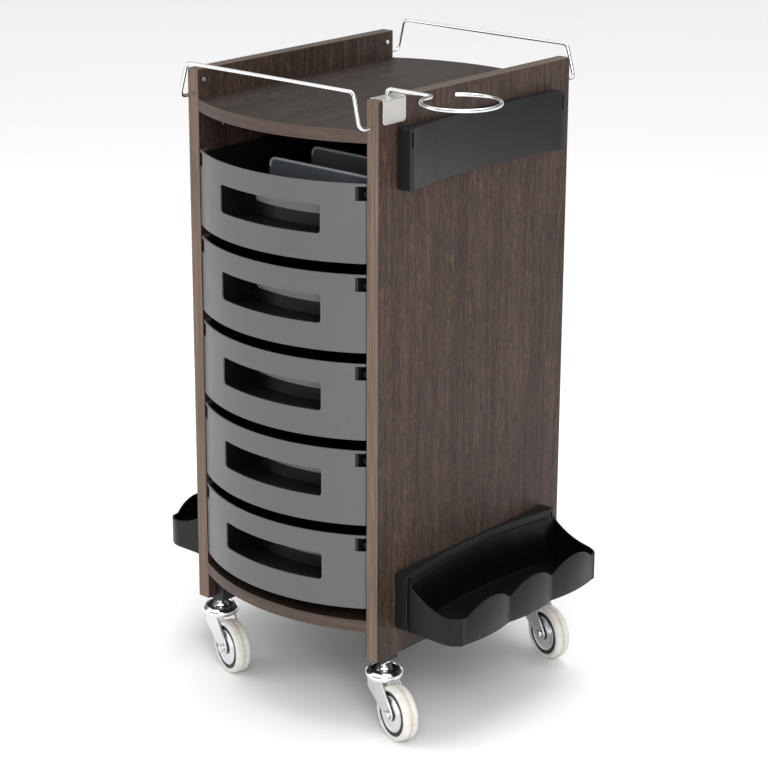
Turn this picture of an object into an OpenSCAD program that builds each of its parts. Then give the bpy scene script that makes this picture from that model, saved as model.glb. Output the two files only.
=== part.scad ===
// Rolling salon trolley: a board cabinet with five plastic drawers, side bins,
// wire rails, a hair-dryer ring and four swivel casters.
// Millimetres, +Z up, the front faces -Y. The origin is on the floor, at the
// middle of the whole trolley's width and depth.

/* [Cabinet] */
// Width over the two side panels
cabinet_w = 328; // [270:1:420]
// Depth of the side panels
cabinet_d = 388; // [320:1:480]
// Height of the side panels
panel_h = 745; // [735:1:920]
// Thickness of the side panels
panel_t = 18; // [14:1:25]
// Thickness of the two shelves
shelf_t = 16; // [12:1:22]
// How far the shelves bow out past the panels, front and rear
shelf_bow = 38; // [10:1:50]
// From the top of the panels down to the top shelf
top_shelf_drop = 38.5; // [30:0.5:60]
// From the foot of the panels up to the underside of the bottom shelf
bottom_shelf_rise = 38.5; // [34:0.5:50]
// Thickness of the edge banding
band_t = 1; // [0.5:0.1:2]
// Thickness of the back panel
back_t = 6; // [3:0.5:10]
// How far the back panel is set in from the rear edges
back_inset = 6; // [2:0.5:15]

/* [Drawers] */
// Height of one drawer front
front_h = 102.5; // [80:0.5:104]
// Gap between one drawer front and the next
drawer_gap = 14; // [4:0.5:15]
// Gap between the top shelf and the first drawer
top_gap = 50.5; // [10:0.5:70]
// How far the drawer fronts bow out
front_bow = 44; // [15:1:60]
// Wall of the drawer fronts and trays
drawer_wall = 2.5; // [2:0.1:4]
// Gap between a drawer front and a side panel
side_gap = 1.2; // [0.6:0.1:3]
// From the back of a tray to the rear edge of the panels
tray_gap = 32; // [20:1:120]
// How far a drawer pulls out
drawer_travel = 250; // [150:1:280]
// Width of the grip opening
grip_w = 168; // [90:1:190]
// Height of the grip opening
grip_h = 37; // [25:0.5:45]
// From the top of a front down to the grip opening
grip_drop = 30; // [22:0.5:40]
// Sideways offset of the grip opening
grip_shift = 8; // [0:1:20]
// From a front back to the wall behind its grip
pocket_d = 44; // [30:1:50]

/* [Wire rails] */
// Diameter of the chrome wire
wire_d = 5; // [3:0.5:7]
// From the outer face of a panel to the end of a rail
rail_inset = 9; // [5:0.5:11]
// How far the legs of a rail lean inwards
rail_narrow = 12; // [0:1:30]
// Radius of the bends of a rail
rail_bend = 9; // [5:1:12]
// How far a rail stands out from the edge of the panels
rail_out = 24; // [16:1:30]
// How far the top bar leans further out than the feet
rail_lean = -2; // [-6:1:10]
// Height of the top bar above the panels
rail_over = 12; // [5:1:40]
// Height of the rail holes above the top shelf
rail_hole_up = 5; // [4:0.5:12]

/* [Dryer holder] */
// Diameter of the ring, at the middle of the wire
ring_d = 96; // [70:1:110]
// From the outer face of the panel to the middle of the ring
ring_out = 106; // [80:1:140]
// Width of the clip plate
clip_w = 43; // [30:1:60]
// How far the clip plate hangs down the panel
clip_drop = 31; // [20:1:34]
// Sheet thickness of the clip
clip_t = 1.5; // [1:0.1:2]
// From the front edge of the panel to the clip
clip_setback = 7; // [3:1:30]

/* [Brackets and bins] */
// From the edges of a panel to the ends of a bracket
bracket_inset = 36; // [28:1:70]
// Height of a bracket
bracket_h = 78; // [60:1:90]
// Thickness of a bracket at its ends
bracket_end_t = 20.6; // [16:0.1:26]
// Thickness of a bracket at its middle
bracket_mid_t = 5; // [4:0.5:10]
// From the top of the panels down to the upper bracket
bracket_drop = 37.5; // [34:0.5:80]
// From the foot of the panels up to the lower brackets
bracket_rise = 39; // [20:0.5:80]
// How far a bin stands out from the panel, without its lobes
bin_out = 103; // [70:1:130]
// How far the three lobes of a bin bulge out
lobe_bulge = 5; // [2:0.5:8]
// Height of a bin at its front, without its scallops
bin_front_h = 38; // [25:1:50]
// Height of the scallops along the front
scallop_h = 16; // [5:1:20]
// Wall of a bin
bin_wall = 2.5; // [1.8:0.1:4]

/* [Casters] */
// Diameter of the wheels
wheel_d = 75; // [60:1:90]
// Width of the wheels
wheel_w = 22; // [16:1:30]
// From the outer face of a panel to the caster stems in it
caster_side = 12; // [10:0.5:12]
// From the front or rear edge of a panel to the caster stems
caster_end = 29; // [20:1:60]
// From the swivel axis to the axle
trail = 34; // [26:1:40]
// Heading of the wheels in the stored pose
heading = 18; // [0:1:45]
// Diameter of the bearing cap
cap_d = 51; // [44:1:60]
// Height of the bearing cap
cap_h = 9.5; // [8:0.5:14]
// Length of stem that shows above the cap
stem_show = 13; // [8:0.5:20]
// Diameter of the stem
stem_d = 10; // [8:0.5:12]
// Diameter of the axle
axle_d = 8; // [6:0.5:10]

/* [Hidden] */
$fn = 96;

// Colours
wood = [0.25, 0.19, 0.17];
banding = [0.45, 0.36, 0.31];
front_grey = [0.42, 0.42, 0.43];
black_plastic = [0.06, 0.06, 0.06];
dark_plastic = [0.16, 0.16, 0.17];
bright_metal = [0.85, 0.85, 0.86];
tyre_grey = [0.80, 0.79, 0.75];

// Fits
play = 0.3;        // between moving or removable plastic pieces
turn_fit = 0.05;   // radial clearance of a turning fit
cut = 1;           // how far a cut runs past a face
fine_fn = 360;     // facets of the large arcs

// Casters, from the floor up
axle_z = wheel_d/2;
crown_t = 2.5;
crown_gap = 1.5;
crown_z = wheel_d + crown_gap;
cap_z = crown_z + crown_t;
cap_top = cap_z + cap_h;
socket_t = 6.5;
socket_z = cap_top + stem_show;

caster_span_x = cabinet_w - 2*caster_side;
caster_span_y = cabinet_d - 2*caster_end;
stem_in = 30;                               // stem inside the panel
nut_ring = 11;                              // boss of the cap, under the nut
leg_gap = 1.5;
leg_t = 2.5;
leg_in = wheel_w/2 + leg_gap;
axle_l = 2*(leg_in + leg_t) + 6;
core_d = wheel_d - 14;
cover_d = core_d - 11;
boss_d = 18;
hub_w = 2*leg_in - 0.6;

// Cabinet
foot_z = socket_z + socket_t;
head_z = foot_z + panel_h;
inner_w = cabinet_w - 2*panel_t;
half_in = inner_w/2;
half_d = cabinet_d/2;
shelf_top_z = head_z - top_shelf_drop;
shelf_under_z = shelf_top_z - shelf_t;
floor_shelf_z = foot_z + bottom_shelf_rise;
floor_shelf_top = floor_shelf_z + shelf_t;

// Drawers
drawer_pitch = front_h + drawer_gap;
tray_l = cabinet_d - tray_gap;
front_half = half_in - side_gap;
front_r = bow_r(front_half, front_bow);
front_cy = -half_d - front_bow + front_r;
rail_w = 9;
rail_h = 8;
rail_below = 12;                            // drawer top to rail top
notch_w = rail_w + 2.5;
notch_top = 4;
notch_h = 18;
tray_half = half_in - rail_w - 2.5;
tray_h = front_h - 6;
tray_below = 2;                             // drawer top to tray rim
guard_t = 2;                                // wall behind the grip
guard_half = grip_w/2 - 26;
guard_h = grip_h - 12;
pocket_half = grip_w/2 + 2;
pocket_r = front_r - pocket_d - guard_t - 2; // back of the pocket in a tray
pocket_side = grip_shift + pocket_half + drawer_wall;
pocket_rear = front_cy - sqrt(pow(pocket_r - drawer_wall, 2) - pow(pocket_side, 2));
tray_back_y = -half_d + tray_l;

// Brackets and bins
bracket_l = cabinet_d - 2*bracket_inset;
bracket_post = 8;
bracket_r = bow_r(bracket_l/2 - bracket_post, bracket_end_t - bracket_mid_t);
bracket_z = foot_z + bracket_rise;
slot_w = 3;
slot_h = 20;
slot_depth = 7;
slot_drop = 4;
slot_y = bracket_l/2 - 3.5 - slot_w;        // side of a slot nearer the middle
bin_half = bracket_l/2 - 1;
bin_rim_drop = 10;
bin_rim_h = bracket_h - bin_rim_drop;
bin_corner = 30;
front_zone = 8;                             // depth of the front rim, behind its lobes
lobe_half = (bin_half - 18)/3;
bin_reach = cabinet_w/2 + bin_out + lobe_bulge;

// Rails and dryer holder
rail_span = cabinet_w - 2*rail_inset;
rail_bar = rail_span - 2*rail_narrow;
hole_z = shelf_top_z + rail_hole_up;
hole_depth = 22;
bar_z = head_z + rail_over;
collar_more = 0.2;                          // collars at the bends of a rail, over the wire
collar_l = 2;
collar_gap = 0.1;                           // from the middle of a collar to the straight
wire_lift = 9;                              // wire above the top of the panel
clip_gap = 0.2;
clip_y = -half_d + clip_setback;
arm_y = clip_y + clip_w*0.62;
arm_bend = 6;
ring_x = cabinet_w/2 + ring_out;
ring_y = arm_y - arm_bend;
ring_sweep = 318;
ring_reach = ring_x + ring_d/2 + wire_d/2;

// The origin, seen from the middle of the cabinet
origin_x = (ring_reach - bin_reach)/2;
origin_y = (shelf_bow - max(front_bow, shelf_bow))/2;

// Radius of an arc from half its chord and its rise
function bow_r(half, rise) = (half*half + rise*rise)/(2*rise);
// Top of drawer n
function drawer_top(n) = shelf_under_z - top_gap - (n - 1)*drawer_pitch;

module placed() { translate([-origin_x, -origin_y, 0]) children(); }
module both_sides() { for (side = [0, 1]) mirror([side, 0, 0]) children(); }
module both_ends() { for (end = [0, 1]) mirror([0, end, 0]) children(); }

// ---- Boards ----

// Plan of a shelf, straight at the sides and bowed front and rear
module shelf_plan(inset) {
    r = bow_r(half_in, shelf_bow);
    intersection() {
        square([inner_w, cabinet_d + 2*shelf_bow], center = true);
        translate([0, r - half_d - shelf_bow]) circle(r - inset, $fn = fine_fn);
        translate([0, half_d + shelf_bow - r]) circle(r - inset, $fn = fine_fn);
    }
}

module shelf(z) {
    placed() translate([0, 0, z]) linear_extrude(shelf_t) shelf_plan(band_t);
}

module shelf_band(z) {
    translate([0, 0, z]) linear_extrude(shelf_t) difference() {
        shelf_plan(0);
        shelf_plan(band_t);
    }
}

module rail_holes() {
    both_sides() both_ends()
        translate([rail_span/2, half_d + cut, hole_z]) rotate([90, 0, 0])
            cylinder(d = wire_d, h = hole_depth + cut);
}

// One side panel, at +X
module side_panel() {
    difference() {
        translate([half_in, -half_d + band_t, foot_z])
            cube([panel_t, cabinet_d - 2*band_t, panel_h - band_t]);
        rail_holes();
        for (x = [caster_span_x/2], y = [-1, 1]*caster_span_y/2)
            translate([x, y, foot_z - cut]) cylinder(d = stem_d, h = stem_in + cut);
    }
}

module panel_band() {
    difference() {
        translate([half_in, -half_d, foot_z]) cube([panel_t, cabinet_d, panel_h]);
        translate([half_in - cut, -half_d + band_t, foot_z - cut])
            cube([panel_t + 2*cut, cabinet_d - 2*band_t, panel_h - band_t + cut]);
        rail_holes();
    }
}

module side_panel_left() { color(wood) placed() mirror([1, 0, 0]) side_panel(); }
module side_panel_right() { color(wood) placed() side_panel(); }
module panel_edge_bands() { color(banding) placed() both_sides() panel_band(); }
module top_shelf() { color(wood) shelf(shelf_under_z); }
module bottom_shelf() { color(wood) shelf(floor_shelf_z); }
module shelf_edge_bands() {
    color(banding) placed() {
        shelf_band(shelf_under_z);
        shelf_band(floor_shelf_z);
    }
}
module back_panel() {
    color(wood) placed()
        translate([-half_in, half_d - back_inset - back_t, floor_shelf_top])
            cube([inner_w, back_t, shelf_under_z - floor_shelf_top]);
}

// ---- Wire ----

function unit(v) = v/norm(v);

// Turns what stands along Z to stand along v
module point_along(v) rotate([0, acos(v[2]/norm(v)), atan2(v[1], v[0])]) children();

// A straight wire from a to b
module wire(a, b) {
    if (norm(b - a) > 0.01)
        translate(a) point_along(b - a) cylinder(d = wire_d, h = norm(b - a));
}

// A wire bent with radius r at every inner point of its path. On a path that
// runs off the axes, collars join its straights to its bends
module bent_wire(path, r, collars = false) {
    last = len(path) - 1;
    short = collars ? collar_gap : 0;
    // Length that the bend at point i takes from each side
    function take(i) = i == 0 || i == last ? 0
        : r/tan(acos(unit(path[i - 1] - path[i])*unit(path[i + 1] - path[i]))/2);
    function stop(i) = i == 0 || i == last ? 0 : take(i) + short;
    for (i = [0:last - 1]) {
        along = unit(path[i + 1] - path[i]);
        wire(path[i] + along*stop(i), path[i + 1] - along*stop(i + 1));
    }
    for (i = [1:last - 1]) {
        back = unit(path[i - 1] - path[i]);
        on = unit(path[i + 1] - path[i]);
        half = acos(back*on)/2;
        middle = path[i] + unit(back + on)*r/sin(half);
        ex = unit(path[i] + back*take(i) - middle);
        ez = unit(cross(on, back));
        ey = cross(ez, ex);
        multmatrix([[ex[0], ey[0], ez[0], middle[0]],
                    [ex[1], ey[1], ez[1], middle[1]],
                    [ex[2], ey[2], ez[2], middle[2]],
                    [0, 0, 0, 1]])
            rotate_extrude(angle = 180 - 2*half)
                translate([r, 0]) circle(d = wire_d, $fn = 48);
        if (collars) for (side = [back, on])
            translate(path[i] + side*(take(i) - collar_l/2)) point_along(side)
                cylinder(d = wire_d + collar_more, h = collar_l);
    }
}

module rail() {
    y_end = half_d - hole_depth;
    foot_y = half_d + rail_out;
    top_y = foot_y + rail_lean;
    x_end = rail_span/2;
    x_top = rail_bar/2;
    bent_wire([[-x_end, y_end, hole_z], [-x_end, foot_y, hole_z], [-x_top, top_y, bar_z],
               [x_top, top_y, bar_z], [x_end, foot_y, hole_z], [x_end, y_end, hole_z]],
              rail_bend, collars = true);
}

module front_rail() { color(bright_metal) placed() mirror([0, 1, 0]) rail(); }
module rear_rail() { color(bright_metal) placed() rail(); }

// Clip of bent sheet that hangs over the top of the right panel
module dryer_clip() {
    inner_x = half_in - clip_gap - clip_t;
    outer_x = cabinet_w/2 + clip_gap;
    lip = 10;
    corner = 4;
    color(bright_metal) placed() translate([0, clip_y, 0]) {
        translate([inner_x, 0, head_z])
            cube([outer_x + clip_t - inner_x, clip_w, clip_t]);
        translate([inner_x, 0, head_z - lip]) cube([clip_t, clip_w, lip]);
        translate([outer_x, 0, head_z - clip_drop + corner])
            cube([clip_t, clip_w, clip_drop - corner]);
        translate([outer_x, corner, head_z - clip_drop])
            cube([clip_t, clip_w - 2*corner, corner]);
        for (y = [corner, clip_w - corner])
            translate([outer_x, y, head_z - clip_drop + corner])
                rotate([0, 90, 0]) cylinder(r = corner, h = clip_t);
    }
}

module dryer_ring() {
    start = [half_in + 3, arm_y, head_z + clip_t];
    knee = [start[0], arm_y, head_z + wire_lift];
    ring_start = [ring_x - ring_d/2, ring_y, knee[2]];
    turn = [ring_start[0], arm_y, knee[2]];
    color(bright_metal) placed() {
        bent_wire([start, knee, turn, ring_start], arm_bend);
        translate([ring_x, ring_y, knee[2]]) rotate([0, 0, 180])
            rotate_extrude(angle = ring_sweep, $fn = 180)
                translate([ring_d/2, 0]) circle(d = wire_d, $fn = 48);
    }
}

// ---- Brackets and bins ----
// Drawn against a face at x = 0, standing out along +X

module bracket() {
    difference() {
        translate([0, -bracket_l/2, 0]) cube([bracket_end_t, bracket_l, bracket_h]);
        translate([bracket_mid_t + bracket_r, 0, -cut])
            cylinder(r = bracket_r, h = bracket_h + 2*cut, $fn = 2*fine_fn);
        both_ends() translate([bracket_end_t - slot_depth, slot_y, bracket_h - slot_drop - slot_h])
            cube([slot_depth + cut, slot_w, slot_h]);
    }
}

// Plan of a bin, drawn in from its outside by inset
module bin_plan(inset) {
    lobe_r = bow_r(lobe_half, lobe_bulge);
    reach = bin_out + lobe_bulge;
    corner = bin_corner - inset;
    intersection() {
        union() {
            translate([0, inset - bin_half]) square([bin_out - inset, 2*(bin_half - inset)]);
            for (i = [-1, 0, 1])
                translate([reach - lobe_r, i*2*lobe_half]) circle(lobe_r - inset, $fn = fine_fn);
        }
        translate([bracket_mid_t + play + bracket_r, 0])
            circle(bracket_r - inset, $fn = 2*fine_fn);
        union() {
            translate([0, inset - bin_half])
                square([reach - bin_corner, 2*(bin_half - inset)]);
            translate([0, bin_corner - bin_half])
                square([reach + cut, 2*(bin_half - bin_corner)]);
            both_ends() translate([reach - bin_corner, bin_half - bin_corner]) circle(corner);
        }
    }
}

// The part of a bin's block above its end walls: high at the bracket, sweeping
// down to the front
module above_ends() {
    rise = bin_rim_h - bin_front_h;
    sweep_end = bin_out - front_zone;
    sweep_r = bow_r(sweep_end - bracket_end_t, rise);
    translate([0, bin_half + cut, 0]) rotate([90, 0, 0])
        linear_extrude(2*(bin_half + cut)) intersection() {
            translate([sweep_end, bin_front_h + sweep_r]) circle(sweep_r, $fn = fine_fn);
            translate([bracket_end_t, bin_front_h])
                square([sweep_end + cut/2 - bracket_end_t, rise + cut]);
        }
}

// The part above its front wall, with a scallop left standing on each lobe
module above_front() {
    rise = bin_rim_h - bin_front_h;
    scallop_r = bow_r(lobe_half - 4, scallop_h);
    translate([bin_out - front_zone, 0, 0]) rotate([90, 0, 90])
        linear_extrude(front_zone + lobe_bulge + cut) difference() {
            translate([-bin_half - cut, bin_front_h]) square([2*(bin_half + cut), rise + cut]);
            for (i = [-1, 0, 1])
                translate([i*(2*lobe_half - 2), bin_front_h + scallop_h - scallop_r])
                    circle(scallop_r, $fn = fine_fn);
        }
}

module bin() {
    difference() {
        linear_extrude(bin_rim_h) bin_plan(0);
        translate([0, 0, bin_wall]) linear_extrude(bin_rim_h) bin_plan(bin_wall);
        above_ends();
        above_front();
    }
    // Tabs that sit in the slots of the bracket
    tab_z = bracket_h - slot_drop - slot_h + play;
    both_ends() translate([bracket_end_t - slot_depth + 1, slot_y + play, tab_z])
        cube([slot_depth + 2, slot_w - 2*play, bin_rim_h - tab_z - 2]);
}

module at_right(z) { translate([cabinet_w/2, 0, z]) children(); }

module bracket_right_top() {
    color(dark_plastic) placed() at_right(head_z - bracket_drop - bracket_h) bracket();
}
module bracket_right_bottom() { color(dark_plastic) placed() at_right(bracket_z) bracket(); }
module bracket_left_bottom() {
    color(dark_plastic) placed() mirror([1, 0, 0]) at_right(bracket_z) bracket();
}
module bin_right() { color(black_plastic) placed() at_right(bracket_z) bin(); }
module bin_left() {
    color(black_plastic) placed() mirror([1, 0, 0]) at_right(bracket_z) bin();
}

// ---- Drawers ----

// Plan of the bowed front, drawn in by inset, back to the line y = back
module bowed_plan(half, inset, back) {
    intersection() {
        translate([0, front_cy]) circle(front_r - inset, $fn = fine_fn);
        translate([-half, -half_d - front_bow - cut]) square([2*half, back + half_d + front_bow + cut]);
    }
}

// Rounded opening of width w and height h, through everything along Y
module grip_cut(w, h, corner) {
    rotate([90, 0, 0]) linear_extrude(2*cabinet_d, center = true) {
        square([w - 2*corner, h], center = true);
        square([w, h - 2*corner], center = true);
        for (x = [-1, 1]*(w/2 - corner), z = [-1, 1]*(h/2 - corner))
            translate([x, z]) circle(corner);
    }
}

// Plan of the strip behind the grip that lies between two insets of the front
module grip_strip(near, far) {
    intersection() {
        translate([grip_shift - guard_half, -half_d - front_bow - cut])
            square([2*guard_half, front_bow + pocket_d]);
        difference() {
            translate([0, front_cy]) circle(front_r - near, $fn = fine_fn);
            translate([0, front_cy]) circle(front_r - far, $fn = fine_fn);
        }
    }
}

module drawer_front(n) {
    top = drawer_top(n);
    return_l = 9;
    color(front_grey) placed() {
        difference() {
            translate([0, 0, top - front_h]) linear_extrude(front_h) difference() {
                bowed_plan(front_half, 0, -half_d + return_l);
                bowed_plan(front_half - drawer_wall, drawer_wall, 0);
            }
            translate([grip_shift, 0, top - grip_drop - grip_h/2]) grip_cut(grip_w, grip_h, 4);
            both_sides() translate([front_half - notch_w, -half_d - front_bow,
                                    top - notch_top - notch_h])
                cube([notch_w + cut, front_bow + return_l + cut, notch_h]);
        }
        // Behind the grip: a ledge over the opening and a bowed wall that hangs from it
        translate([0, 0, top - grip_drop + 1]) linear_extrude(guard_t)
            grip_strip(drawer_wall/2, pocket_d + guard_t);
        translate([0, 0, top - grip_drop + 1 - guard_h]) linear_extrude(guard_h + 0.5)
            grip_strip(pocket_d, pocket_d + guard_t);
    }
}

// Plan of a tray, drawn in by inset
module tray_plan(inset) {
    bowed_plan(tray_half - inset, drawer_wall + inset, tray_back_y - inset);
}

module pocket_plan(inset) {
    difference() {
        translate([grip_shift - pocket_half - inset, -half_d - front_bow - cut])
            square([2*(pocket_half + inset), front_bow + pocket_d]);
        translate([0, front_cy]) circle(pocket_r - inset, $fn = fine_fn);
    }
}

module drawer_tray(n) {
    top = drawer_top(n) - tray_below;
    floor_z = top - tray_h;
    pocket_z = drawer_top(n) - grip_drop - grip_h - 5;
    pocket_h = grip_h + 13;
    lip_z = drawer_top(n) - rail_below + play;
    color(black_plastic) placed() {
        difference() {
            union() {
                difference() {
                    translate([0, 0, floor_z]) linear_extrude(tray_h) tray_plan(0);
                    translate([0, 0, floor_z + drawer_wall])
                        linear_extrude(tray_h) tray_plan(drawer_wall);
                }
                translate([0, 0, pocket_z - drawer_wall])
                    linear_extrude(pocket_h + 2*drawer_wall) intersection() {
                        pocket_plan(drawer_wall);
                        tray_plan(0);
                    }
            }
            translate([0, 0, pocket_z]) linear_extrude(pocket_h) pocket_plan(0);
        }
        // Lips that run on the rails
        both_sides() translate([tray_half - cut, -half_d + 12, lip_z])
            cube([half_in - side_gap - tray_half + cut, tray_l - 12, drawer_wall]);
    }
}

module drawer_1_front() { drawer_front(1); }
module drawer_2_front() { drawer_front(2); }
module drawer_3_front() { drawer_front(3); }
module drawer_4_front() { drawer_front(4); }
module drawer_5_front() { drawer_front(5); }
module drawer_1_tray() { drawer_tray(1); }
module drawer_2_tray() { drawer_tray(2); }
module drawer_3_tray() { drawer_tray(3); }
module drawer_4_tray() { drawer_tray(4); }
module drawer_5_tray() { drawer_tray(5); }

// Insert in the top drawer: a thin base with two cross walls
module drawer_divider() {
    wall = 2;
    left = -50;
    right = tray_half - drawer_wall - play;
    first_y = pocket_rear + 2;
    second_y = first_y + 80;
    base_z = drawer_top(1) - tray_below - tray_h + drawer_wall;
    wall_h = tray_h - drawer_wall;
    color(dark_plastic) placed() {
        translate([left, first_y, base_z]) cube([right - left, second_y - first_y + wall, wall]);
        for (y = [first_y, second_y]) translate([left, y, base_z]) cube([right - left, wall, wall_h]);
    }
}

module drawer_rails() {
    color(black_plastic) placed() both_sides() for (n = [1:5])
        translate([half_in - rail_w, -half_d + 4, drawer_top(n) - rail_below - rail_h])
            cube([rail_w, tray_l - 4, rail_h]);
}

// ---- Fittings ----

// Corner blocks that hold the caster stems under the panels
module caster_sockets() {
    block_l = 30;
    block_w = 14;
    color(black_plastic) placed() both_sides() both_ends() {
        difference() {
            translate([half_in - block_w, caster_span_y/2 - block_l/2, socket_z])
                cube([block_w + panel_t - 1, block_l, socket_t]);
            translate([caster_span_x/2, caster_span_y/2, socket_z - cut])
                cylinder(d = stem_d, h = socket_t + 2*cut);
        }
        translate([half_in - block_w, caster_span_y/2 - block_l/2, foot_z])
            cube([block_w, block_l, floor_shelf_z - foot_z]);
    }
}

// Angle brackets under both shelves
module corner_brackets() {
    leg = 26;
    sheet = 2;
    width = 18;
    y = half_d - 62;
    color(bright_metal) placed() both_sides() both_ends()
        for (z = [shelf_under_z, floor_shelf_z]) {
            translate([half_in - sheet, y, z - leg]) cube([sheet, width, leg]);
            translate([half_in - leg, y, z - sheet]) cube([leg, width, sheet]);
            translate([half_in - sheet - 2, y + width/2, z - leg + 8])
                rotate([0, 90, 0]) cylinder(d = 6, h = 2);
        }
}

// Pan heads of the screws that hold the drawer rails, and the plugs near the
// top corners of the panels
module panel_screws() {
    head_d = 5;
    head_h = 2;
    plug_d = 6;
    color(bright_metal) placed() both_sides() {
        for (n = [1:5], y = [30, tray_l - 30])
            translate([half_in - rail_w - head_h, y - half_d, drawer_top(n) - rail_below - rail_h/2])
                rotate([0, 90, 0]) cylinder(d = head_d, h = head_h);
        both_ends() translate([half_in - 1, half_d - 12, head_z - 15])
            rotate([0, 90, 0]) cylinder(d = plug_d, h = 1);
    }
}

// ---- Casters ----
// Drawn with the swivel axis at x = y = 0 and the wheel trailing along +X

module at_caster(sx, sy) {
    placed() translate([sx*caster_span_x/2, sy*caster_span_y/2, 0]) children();
}
module trailing(sx, sy) { at_caster(sx, sy) rotate([0, 0, -heading]) children(); }
module on_axle(sx, sy) {
    trailing(sx, sy) translate([trail, 0, axle_z]) rotate([90, 0, 0]) children();
}

module caster_stem() {
    nut_d = 17;
    nut_h = 4;
    collar_d = 18;
    translate([0, 0, crown_z - 3]) cylinder(d = stem_d, h = socket_z + socket_t + stem_in - crown_z + 3);
    translate([0, 0, crown_z - 3 - 2]) cylinder(d = stem_d + 5, h = 2 + 3 - play);
    translate([0, 0, cap_top + play]) cylinder(d = nut_d, h = nut_h, $fn = 6);
    translate([0, 0, socket_z - 4]) cylinder(d = collar_d, h = 4);
}

// Pressed bearing cap with a recess round the nut
module caster_cap() {
    edge = 4;
    dish_r = cap_d/2 - 6;
    dish_h = 3;
    difference() {
        rotate_extrude() difference() {
            union() {
                square([cap_d/2 - edge, cap_h]);
                square([cap_d/2, cap_h - edge]);
                translate([cap_d/2 - edge, cap_h - edge]) circle(edge, $fn = 48);
            }
            square([stem_d/2 + turn_fit, cap_h]);
            translate([nut_ring, cap_h - dish_h]) square([dish_r - nut_ring, dish_h + cut]);
        }
    }
}

module caster_fork() {
    crown_r = cap_d/2 - 3;
    eye_r = 9;
    difference() {
        union() {
            translate([0, 0, crown_z]) cylinder(r = crown_r, h = crown_t);
            for (side = [-1, 1])
                translate([0, side*(leg_in + leg_t/2), 0]) rotate([90, 0, 0])
                    linear_extrude(leg_t, center = true) {
                        polygon([[-18, crown_z + crown_t], [-18, crown_z - 18],
                                 [trail - 6, axle_z - 7], [trail + 7, axle_z + 6],
                                 [14, crown_z + crown_t]]);
                        translate([trail, axle_z]) circle(eye_r);
                    }
        }
        translate([0, 0, crown_z - cut]) cylinder(r = stem_d/2 + turn_fit, h = crown_t + 2*cut);
        translate([trail, 0, axle_z]) rotate([90, 0, 0])
            cylinder(d = axle_d, h = cap_d + 2*cut, center = true);
    }
}

module caster_axle() {
    head_d = 13;
    head_h = 3;
    cylinder(d = axle_d, h = axle_l - 2*head_h, center = true);
    for (side = [-1, 1])
        translate([0, 0, side*(axle_l/2 - head_h/2)]) cylinder(d = head_d, h = head_h, center = true);
}

module wheel_core() {
    difference() {
        union() {
            cylinder(d = core_d, h = wheel_w - 3, center = true);
            cylinder(d = boss_d, h = hub_w, center = true);
        }
        cylinder(r = axle_d/2 + turn_fit, h = wheel_w + 10, center = true);
        for (side = [-1, 1]) translate([0, 0, side*wheel_w/2]) difference() {
            cylinder(d = cover_d, h = 7, center = true);
            cylinder(d = boss_d, h = 8, center = true);
        }
    }
}

// The two pressed covers of a wheel
module wheel_covers() {
    for (side = [-1, 1]) translate([0, 0, side*(wheel_w/2 - 2)]) difference() {
        cylinder(d = cover_d, h = 3, center = true);
        cylinder(d = boss_d, h = 4, center = true);
    }
}

module wheel_tyre() {
    edge = 5;
    rotate_extrude() intersection() {
        translate([core_d/2, -wheel_w/2]) square([wheel_d/2 - core_d/2, wheel_w]);
        union() {
            square([wheel_d, wheel_w - 2*edge], center = true);
            square([wheel_d - 2*edge, wheel_w], center = true);
            for (z = [-1, 1]*(wheel_w/2 - edge)) translate([wheel_d/2 - edge, z]) circle(edge);
        }
    }
}

module caster_fl_stem() { color(bright_metal) at_caster(-1, -1) caster_stem(); }
module caster_fl_cap() { color(bright_metal) trailing(-1, -1) translate([0, 0, cap_z]) caster_cap(); }
module caster_fl_fork() { color(bright_metal) trailing(-1, -1) caster_fork(); }
module caster_fl_axle() { color(bright_metal) on_axle(-1, -1) caster_axle(); }
module caster_fl_core() { color(black_plastic) on_axle(-1, -1) wheel_core(); }
module caster_fl_covers() { color(bright_metal) on_axle(-1, -1) wheel_covers(); }
module caster_fl_tyre() { color(tyre_grey) on_axle(-1, -1) wheel_tyre(); }
module caster_fr_stem() { color(bright_metal) at_caster(1, -1) caster_stem(); }
module caster_fr_cap() { color(bright_metal) trailing(1, -1) translate([0, 0, cap_z]) caster_cap(); }
module caster_fr_fork() { color(bright_metal) trailing(1, -1) caster_fork(); }
module caster_fr_axle() { color(bright_metal) on_axle(1, -1) caster_axle(); }
module caster_fr_core() { color(black_plastic) on_axle(1, -1) wheel_core(); }
module caster_fr_covers() { color(bright_metal) on_axle(1, -1) wheel_covers(); }
module caster_fr_tyre() { color(tyre_grey) on_axle(1, -1) wheel_tyre(); }
module caster_rl_stem() { color(bright_metal) at_caster(-1, 1) caster_stem(); }
module caster_rl_cap() { color(bright_metal) trailing(-1, 1) translate([0, 0, cap_z]) caster_cap(); }
module caster_rl_fork() { color(bright_metal) trailing(-1, 1) caster_fork(); }
module caster_rl_axle() { color(bright_metal) on_axle(-1, 1) caster_axle(); }
module caster_rl_core() { color(black_plastic) on_axle(-1, 1) wheel_core(); }
module caster_rl_covers() { color(bright_metal) on_axle(-1, 1) wheel_covers(); }
module caster_rl_tyre() { color(tyre_grey) on_axle(-1, 1) wheel_tyre(); }
module caster_rr_stem() { color(bright_metal) at_caster(1, 1) caster_stem(); }
module caster_rr_cap() { color(bright_metal) trailing(1, 1) translate([0, 0, cap_z]) caster_cap(); }
module caster_rr_fork() { color(bright_metal) trailing(1, 1) caster_fork(); }
module caster_rr_axle() { color(bright_metal) on_axle(1, 1) caster_axle(); }
module caster_rr_core() { color(black_plastic) on_axle(1, 1) wheel_core(); }
module caster_rr_covers() { color(bright_metal) on_axle(1, 1) wheel_covers(); }
module caster_rr_tyre() { color(tyre_grey) on_axle(1, 1) wheel_tyre(); }

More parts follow.
